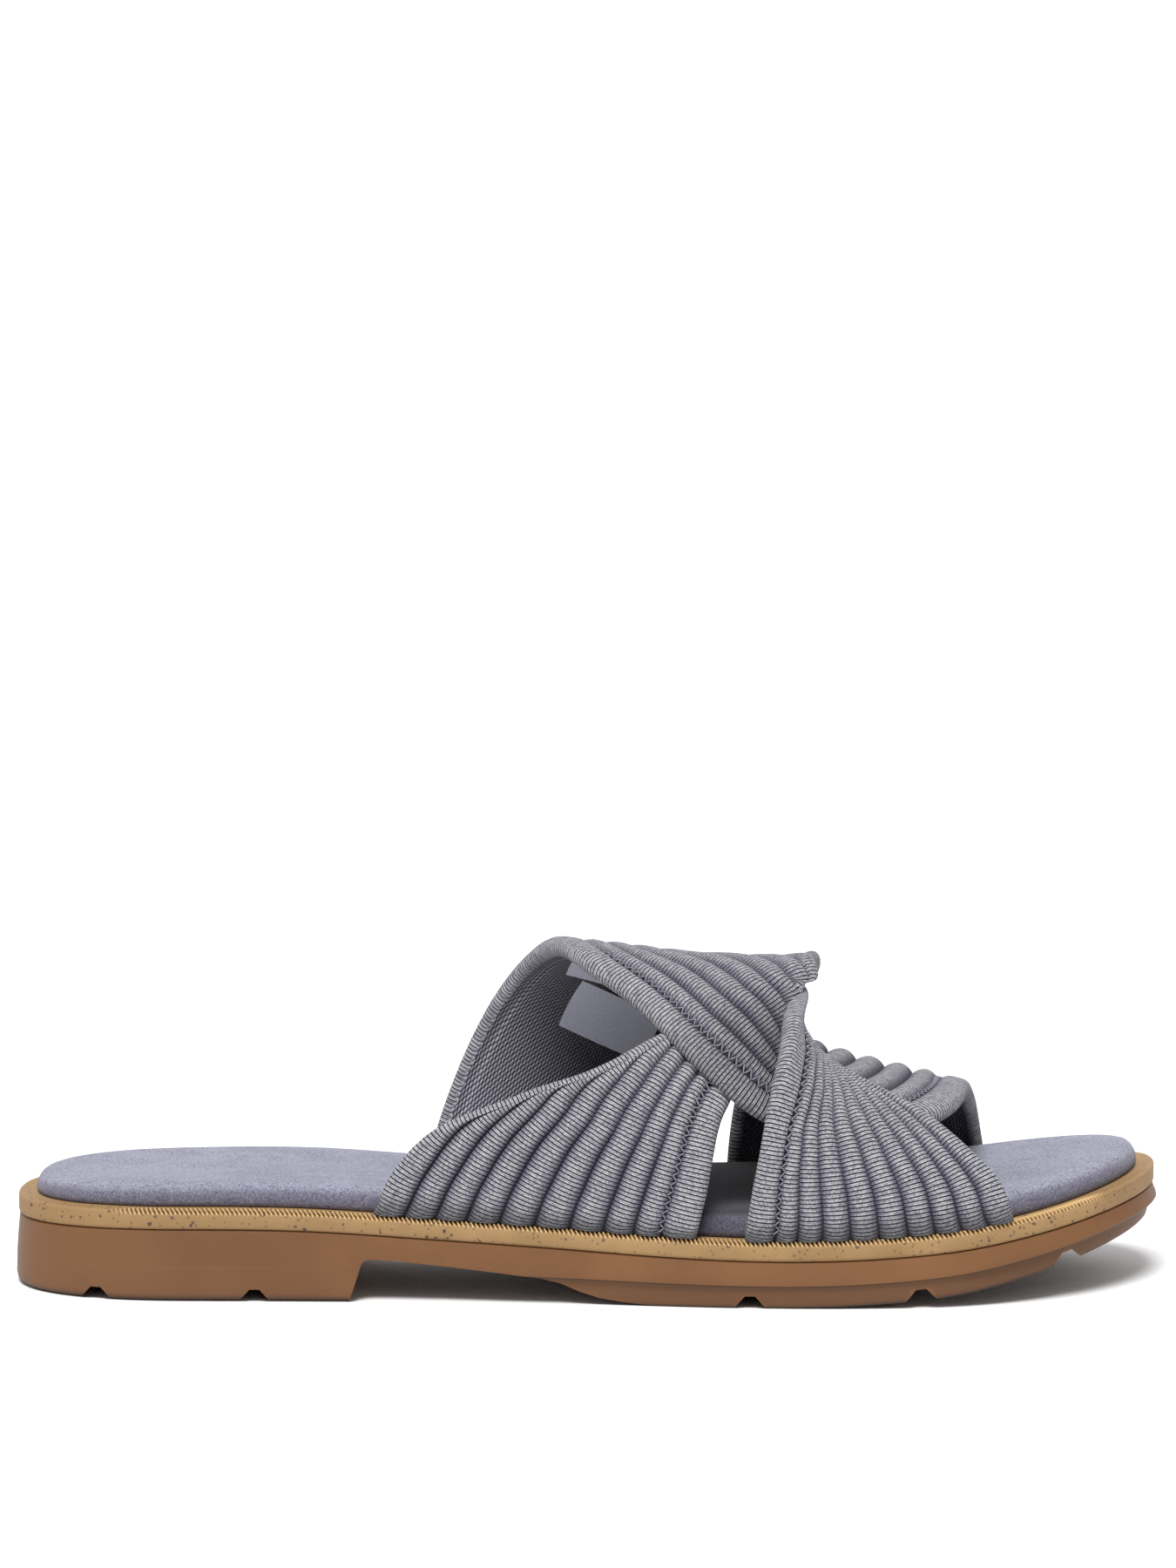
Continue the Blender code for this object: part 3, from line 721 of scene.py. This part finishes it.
def strapSheet(strap, travel, across):
    # the strap's inner skin, and the way out from it
    edge = [curveThrough(strap["rows"], index, travel) for index in range(1, 7)]
    along, girth, lift = (edge[k] + (edge[k + 3] - edge[k]) * across for k in range(3))
    lean = np.array((shoe["knotLean"], 0, 0)) * np.clip(lift, 0, 1)[..., None]
    out = unit(instepNormal(along, girth) + lean)
    return instepPoint(along, girth) + out * (lift * shoe["knotRise"])[..., None], out


def rolledPast(gone, across):
    # a share of the width once the part up to gone has rolled under the edge
    def soft(value):
        return (value + np.sqrt(value**2 + strapMake["rollSoft"]**2)) / 2
    return (soft(across - gone) - soft(0 - gone)) / (soft(1 - gone) - soft(0 - gone))


def ribPlace(strap, travel, across):
    # where a share of the flat width lies once ribs roll under an edge or bunch under the edge rib
    outer, inner, bunch = (curveThrough(strap["crowd"], k, travel) for k in (1, 2, 3))
    placed = 1 - rolledPast(inner, 1 - rolledPast(outer, across))
    return (1 - bunch) * placed + bunch * across ** strapMake["bunchPower"]


def hemSize(strap, travel, side):
    # radius of the turned edge: half the height of the edge rib, and more at the knot's tip
    full = shoe["strapWall"] + shoe["ribHeight"]
    tip = bell(travel, strapMake["tipAt"], strapMake["tipSpan"])
    return full * tuckOf(travel) / 2 + side * strap["tip"] * tip


def tuckOf(travel):
    # share of the strap's thickness that is left where its ends go into the sole
    least = strapMake["tuckLeast"]
    end = 1 - np.clip(np.minimum(travel, 1 - travel) / strapMake["tuck"], 0, 1)
    return least + (1 - least) * np.sqrt(np.clip(1 - end**2, 0, 1))


def strapSkin(strap, travel, across):
    # the sheet between its turned edges, with its width and the way out of each point
    edges = [strapSheet(strap, travel, np.full((1, 1), side))[0] for side in (0.0, 1.0)]
    width = np.linalg.norm(edges[1] - edges[0], axis=-1)
    share = strapMake["hemShare"] / width
    low, high = (np.clip(share * hemSize(strap, travel, side), 0, 0.25) for side in (0, 1))
    base, out = strapSheet(strap, travel, low + (1 - low - high) * ribPlace(strap, travel, across))
    down, over = np.gradient(base, axis=0), np.gradient(base, axis=1)
    normal = unit(np.cross(unit(over), unit(down))) * strap["outward"]
    return base, unit(normal * 0.75 + out * 0.25), unit(over), width


def ribPart(strap, across):
    # which rib a share of the width lies in, and how far across that rib
    furrows = np.array(strap["furrows"])
    rib = np.clip(np.searchsorted(furrows, across, side="right") - 1, 0, len(furrows) - 2)
    return rib, np.clip((across - furrows[rib]) / (furrows[rib + 1] - furrows[rib]), 0, 1)


def ribHeights(strap, travel, across, width):
    # height over the sheet and share of the crest's height; ribs that are squeezed have shallower furrows
    rib, part = ribPart(strap, across)
    swell = np.sin(np.pi * part) ** strapMake["ribPower"]
    last = len(strap["furrows"]) - 2
    swell = np.where(((rib == 0) & (part < 0.5)) | ((rib == last) & (part > 0.5)), 1.0, swell)
    furrows = np.array(strap["furrows"])[None, :]
    flat = np.diff(furrows, axis=1) * strap["width"]
    wide = np.diff(ribPlace(strap, travel, furrows), axis=1) * width / flat
    wide[:, (0, last)] = np.maximum(wide[:, (0, last)], 1.0)
    mine = np.take_along_axis(wide, np.broadcast_to(rib, (len(travel), rib.shape[1])), axis=1)
    swell = 1 - (1 - swell) * np.clip(mine * 1.15 - 0.10, 0, 1)
    return (shoe["strapWall"] + shoe["ribHeight"] * swell) * tuckOf(travel), swell


def makeStrap(strap):
    ribs, perRib = len(strap["furrows"]) - 1, strapMake["pointsPerRib"]
    furrows = np.array(strap["furrows"])
    outside = [np.linspace(furrows[k], furrows[k + 1], perRib, endpoint=False) for k in range(ribs)]
    outside = np.concatenate(outside + [[1.0]])[None, :]
    inside = (1 + np.cos(np.linspace(0, np.pi, strapMake["insidePoints"])))[None, :] / 2
    travel = np.linspace(0, 1, strapMake["rows"])[:, None]

    base, normal, over, width = strapSkin(strap, travel, outside)
    high, swell = ribHeights(strap, travel, outside, width)
    hems = [hemSize(strap, travel, side) for side in (0, 1)]
    tipRise = 2 * hems[1] - high[:, -1:]
    high = high + tipRise * smoothStep(*strapMake["tipRises"], outside)
    outerSkin = base + normal * high[..., None]
    baseIn, normalIn, _, width = strapSkin(strap, travel, inside)
    placed = ribPlace(strap, travel, inside)
    fromEdge = np.minimum(placed, 1 - placed) * width
    rim = smoothStep(strapMake["rimWidth"] * 1.12, strapMake["rimWidth"] * 0.88, fromEdge)
    sunk = (rim - 0.35) * strapMake["rimRise"] * smoothStep(0, strapMake["rimWidth"] / 2, fromEdge)
    innerSkin = baseIn - normalIn * sunk[..., None]

    angle = np.linspace(0, np.pi, strapMake["edgePoints"] + 2)[None, 1:-1, None]

    def hemRound(start, up, outward, hem):
        middle = (start + up * hem)[:, None, :]
        return middle + (np.cos(angle) * up[:, None, :] + np.sin(angle) * outward[:, None, :]) * hem[:, None]

    endHem = hemRound(base[:, -1], normal[:, -1], over[:, -1], hems[1])
    startHem = hemRound(base[:, 0], normal[:, 0], -over[:, 0], hems[0])[:, ::-1]
    loop = np.concatenate((outerSkin, endHem, innerSkin, startHem, outerSkin[:, :1]), axis=1)
    piece = shapedGrid(strap["name"], loop)

    # the knit follows the ribs: U along each rib's own crest and V across it, in metres
    columns, edgePoints, insidePoints = loop.shape[1], strapMake["edgePoints"], strapMake["insidePoints"]
    insideStart = ribs * perRib + 1 + edgePoints
    ribOf = np.concatenate((np.repeat(np.arange(ribs), perRib), np.full(edgePoints + 1, ribs - 1),
                            np.full(insidePoints - 1, ribs), np.full(edgePoints + 1, 0)))
    crests = [int((k + 0.5) * perRib) for k in range(ribs)] + [insideStart + insidePoints // 2]
    corners = np.zeros(len(piece.data.loops), dtype=np.int64)
    piece.data.loops.foreach_get("vertex_index", corners)
    faceStart = np.repeat(corners.reshape(-1, 4).min(axis=1), 4) % columns
    rib = ribOf[np.clip(faceStart, 0, columns - 2)]
    row, column = corners // columns, corners % columns
    weave = np.zeros((len(corners), 2))
    for number, crest in enumerate(crests):
        line = loop[:, crest]
        run = np.concatenate(((0,), np.cumsum(np.linalg.norm(np.diff(line, axis=0), axis=1))))
        tangent = unit(np.gradient(line, axis=0))
        mine = rib == number
        away = loop[row[mine], column[mine]] - line[row[mine]]
        ahead = (away * tangent[row[mine]]).sum(-1)
        aside = np.sqrt(np.maximum((away**2).sum(-1) - ahead**2, 0)) * np.sign(column[mine] - crest)
        weave[mine] = np.column_stack((run[row[mine]] + ahead * 0.9, aside + number * strapMake["uvStep"]))
    layer = piece.data.uv_layers[0]
    layer.name = "weave"
    layer.data.foreach_set("uv", weave.astype(np.float32).ravel())

    # what the knit's paint follows: the lining, the height of the ribs, the painted shade at the feet and in
    # the knot
    lining = np.zeros((len(travel), columns))
    lining[:, insideStart:insideStart + insidePoints] = 1
    crown = np.concatenate((swell, np.ones((len(travel), columns - swell.shape[1]))), axis=1)
    foot = 1 - smoothStep(*strapMake["footFades"], np.minimum(travel, 1 - travel))
    start, full, fade, end = strap["dimmed"]
    dim = smoothStep(start, full, travel) * (1 - smoothStep(fade, end, travel)) * strap["dimDepth"]
    turned = (np.ones(edgePoints + insidePoints), np.zeros(edgePoints + 1))
    dim = dim * (1 - smoothStep(*strapMake["dimFades"], np.concatenate((outside[0], *turned))[None, :]))
    keepShare(piece, "inside", lining)
    keepShare(piece, "swell", crown)
    keepShare(piece, "foot", np.maximum(foot, dim))
    inEdit(piece, closeSeam, capEnds, normalsOut)
    smoothed(piece, 180)
    finished(piece, knitFinish(strap), "upper")
    makeSeam(strap)


def tubeAlong(name, path, radius, sides=6):
    # a thread: a grid rolled round a path
    ahead = unit(np.gradient(path, axis=0))
    side = unit(np.cross(ahead, (0.0, 0.0, 1.0)) + 1e-9)
    up = np.cross(side, ahead)
    turn = np.linspace(0, 2 * np.pi, sides + 1)[None, :, None]
    ring = np.cos(turn) * side[:, None, :] + np.sin(turn) * up[:, None, :]
    piece = shapedGrid(name, path[:, None, :] + radius * ring)
    inEdit(piece, closeSeam, capEnds, normalsOut)
    smoothed(piece, 180)
    return piece


def makeSeam(strap):
    # zigzag stitches along the furrow beside the edge rib; two columns each, as the skin's slope needs them
    travel = np.linspace(*strapMake["seamEnds"], 1200)[:, None]
    beside = np.array([[0, 1e-3]])
    lines = []
    for swing in (-1, 1):
        width = strapSkin(strap, travel, strap["seam"] + beside)[3]
        across = strap["seam"] + swing * strapMake["seamSwing"] / np.maximum(width, 0.024) + beside
        base, normal, _, _ = strapSkin(strap, travel, across)
        high = ribHeights(strap, travel, across, width)[0]
        lines.append((base + normal * (high + strapMake["seamThread"] * 0.4)[..., None])[:, 0])
    middle = (lines[0] + lines[1]) / 2
    run = np.concatenate(((0,), np.cumsum(np.linalg.norm(np.diff(middle, axis=0), axis=1))))
    steps = np.arange(0, run[-1], strapMake["seamStep"])
    points = np.array([
        [np.interp(place, run, lines[number % 2][:, k]) for k in range(3)]
        for number, place in enumerate(steps)])
    fine = np.linspace(0, len(points) - 1, 3 * len(points))
    path = np.column_stack([np.interp(fine, np.arange(len(points)), points[:, k]) for k in range(3)])
    thread = tubeAlong(strap["name"] + "_stitches", path, strapMake["seamThread"])
    finished(thread, threadFinish(strap), None)


def threadFinish(strap):
    finish = Finish("thread " + strap["name"].replace("_", " "), roughness=0.8, Sheen_Weight=0.3)
    twist = finish.noise(finish.place(), 1800.0, 2.0)
    tone = finish.blend(twist.within(0.3, 0.7), strapMake["yarn"], strapMake["threadShade"])
    return finish.wear(tone, None, twist, distance=0.00005)


def knitFinish(strap):
    finish = Finish(
        "rib knit " + strap["name"].replace("_", " "), roughness=0.9, Sheen_Weight=0.08, Sheen_Roughness=0.5,
        Specular_IOR_Level=0.25)
    down, over, _ = finish.parts(finish.node("ShaderNodeUVMap", {"uv_map": "weave"}, output="UV"))
    inside, swell, foot = (finish.share(name) for name in ("inside", "swell", "foot"))
    place = finish.place()
    wobble = finish.noise(place, strapMake["wobbleScale"], 1.0) - 0.5
    course = down / strapMake["rowPitch"] + wobble * strapMake["rowWobble"]
    wale = over / strapMake["stitchPitch"] + course.whole() * 0.5
    bead = wale.wave()
    yarn = course.wave() ** 0.6 * (0.70 + bead * 0.30)
    pair = (course / 2).wave()                     # every second gap between the rows lies open
    cell = finish.node("ShaderNodeCombineXYZ", None, {"X": course.whole(), "Y": wale.whole()})
    marl = finish.node("ShaderNodeTexWhiteNoise", {"noise_dimensions": "2D"}, {"Vector": cell}, "Value")
    heather = finish.noise(place, strapMake["heatherScale"], 2.0, 0.6)
    slack = finish.noise(place, strapMake["slackScale"], 2.0, 0.5).within(0.30, 0.62)
    mottle = (heather * 0.45 + marl * 0.55).within(0.20, 0.70)
    tone = finish.blend(mottle, strapMake["yarn"], strapMake["yarnLight"])
    tone = finish.blend((marl > 0.92) * 0.3, tone, strapMake["yarnDark"])
    # the rib flanks are painted darker and more purple: partly the yarn's own colour, partly painted shade
    tone = finish.blend((1 - swell.within(0.55, 0.98)) * 0.55, tone, strapMake["flankShade"])
    tone = finish.blend((1 - yarn.within(0.25, 0.75)) * 0.15, tone, strapMake["gapShade"])
    tone = finish.blend((1 - pair.within(0.30, 0.58)) * (0.92 + slack * 0.08), tone, strapMake["gapShade"])
    # painted shade in the furrows between the ribs
    tone = finish.blend((1 - swell.within(0.05, 0.66)) * 0.9, tone, strapMake["furrowShade"])
    # painted shade at the strap's feet by the sole and, on the arch strap, where it dives under the side strap
    tone = finish.blend(foot * 0.55, tone, strapMake["gapShade"])
    slope, rib = strapMake["twill"]
    twill = ((down * 0.8 + over) / slope).wave() * (over / rib).wave()
    # painted shade on the lining, darker towards the toe where it lies inside the knot
    deep = finish.parts(place)[0].within(*strapMake["liningShadeFades"])
    lining = finish.blend(twill.within(0.1, 0.6), strapMake["insideDark"], strapMake["inside"])
    lining = finish.blend(deep * 0.85, lining, strapMake["liningShade"])
    tone = finish.blend(inside, tone, lining)
    height = (yarn * 0.5 + pair.within(0.1, 0.7) * 0.5) * (1 - inside) + twill * inside * 0.7
    return finish.wear(tone, None, height, distance=strapMake["knitDepth"])


# Two plain satin labels inside the arch strap; their corners are travel and share across on its inner skin
labels = {
    "upper_label": ((0.280, 0.193), (0.321, 0.122), (0.322, 0.330), (0.283, 0.395)),
    "lower_label": ((0.203, 0.340), (0.276, 0.292), (0.254, 0.760), (0.173, 0.805)),
    "points": (14, 18), "rise": 0.0007, "riseSpan": (0.5, 0.9), "thick": 0.00025,
    "fineScale": 2400.0, "fineDepth": 0.00004,
    "satin": shadeOf(222, 222, 232), "satinShade": shadeOf(206, 206, 220),
}


def satinFinish():
    finish = Finish("plain satin label", roughness=0.42, Sheen_Weight=0.2)
    fine = finish.noise(finish.place(), labels["fineScale"], 2.0)
    tone = finish.blend(fine.within(0.3, 0.7), labels["satinShade"], labels["satin"])
    return finish.wear(tone, None, fine, distance=labels["fineDepth"])


def makeLabels():
    satin = satinFinish()
    for name in ("upper_label", "lower_label"):
        a, b, c, d = (np.array(corner) for corner in labels[name])
        u = np.linspace(0, 1, labels["points"][0])[:, None, None]
        v = np.linspace(0, 1, labels["points"][1])[None, :, None]
        place = (a * (1 - u) + b * u) * (1 - v) + (d * (1 - u) + c * u) * v
        base, out = strapSheet(archStrap, place[..., 0], place[..., 1])
        least, more = labels["riseSpan"]
        piece = shapedGrid(name, base - out * labels["rise"] * (least + more * v))
        wall = piece.modifiers.new("thickness", "SOLIDIFY")
        wall.thickness = labels["thick"]
        applyAll(piece)
        inEdit(piece, normalsOut)
        smoothed(piece, 40)
        finished(piece, satin, None)


print("making the straps")
makeStrap(sideStrap)
makeStrap(archStrap)
print("making the labels")
makeLabels()


# Floor, light and camera
studio = {
    # the sweep of the floor into the backdrop: y, z in metres
    "sweep": (
        (-6.0, 0.0), (-2.0, 0.0), (0.0, 0.0), (1.5, 0.0), (2.4, 0.06), (3.2, 0.35), (3.8, 0.90), (4.1, 1.7),
        (4.2, 3.0), (4.2, 5.0)),
    "sweepWidth": 9.0, "floorShade": (0.96, 0.96, 0.96), "floorLight": (0.98, 0.98, 0.98), "floorScale": 3.0,
    "skyStrength": 0.42, "sunStrength": 3.15, "sunFrom": (-0.10, -0.58, 1.0), "sunSoft": 24.0,
    "cameraDistance": 1.6, "cameraHigh": 10.3,
    "photoHeight": 1800, "floorRow": 1463.9,      # in pixels; the row is that of the origin
    "pixelsPerMetre": 5036.0, "sensor": 36.0,
}


def makeStudio():
    half = studio["sweepWidth"] / 2
    sides = np.linspace(half, -half, 7)
    floor = shapedGrid("studio_floor", np.array([[(x, y, z) for x in sides] for y, z in studio["sweep"]]))
    smoothed(floor, 60)
    pale = Finish("pale studio floor", roughness=0.9, Specular_IOR_Level=0.1)
    cloud = pale.noise(pale.place(), studio["floorScale"])
    floor.data.materials.append(pale.wear(pale.blend(cloud, studio["floorShade"], studio["floorLight"])))
    sky = bpy.data.worlds.new("studio")
    bpy.context.scene.world = sky
    sky.use_nodes = True
    glow = sky.node_tree.nodes["Background"].inputs
    glow["Color"].default_value = (1.0, 1.0, 1.0, 1.0)
    glow["Strength"].default_value = studio["skyStrength"]
    bpy.ops.object.light_add(type="SUN", location=studio["sunFrom"])
    key = bpy.context.object
    key.name = "soft key"
    key.data.energy = studio["sunStrength"]
    key.data.angle = math.radians(studio["sunSoft"])
    key.rotation_euler = mathutils.Vector(studio["sunFrom"]).to_track_quat("Z", "Y").to_euler()
    bpy.context.scene.view_settings.view_transform = "Standard"


def makeCamera():
    high = math.radians(studio["cameraHigh"])
    distance = studio["cameraDistance"]
    focal = studio["pixelsPerMetre"] * distance      # in pixels of the photograph
    raised = math.atan((studio["floorRow"] - studio["photoHeight"] / 2) / focal)
    bpy.ops.object.camera_add(location=(0, -distance * math.cos(high), distance * math.sin(high)))
    camera = bpy.context.object
    camera.rotation_euler = (math.pi / 2 - high + raised, 0, 0)
    camera.data.sensor_fit = "AUTO"
    camera.data.sensor_width = studio["sensor"]
    camera.data.lens = focal / studio["photoHeight"] * studio["sensor"]
    camera.data.clip_end = 200
    bpy.context.scene.camera = camera


print("setting the studio")
makeStudio()
makeCamera()

print("everything is made")
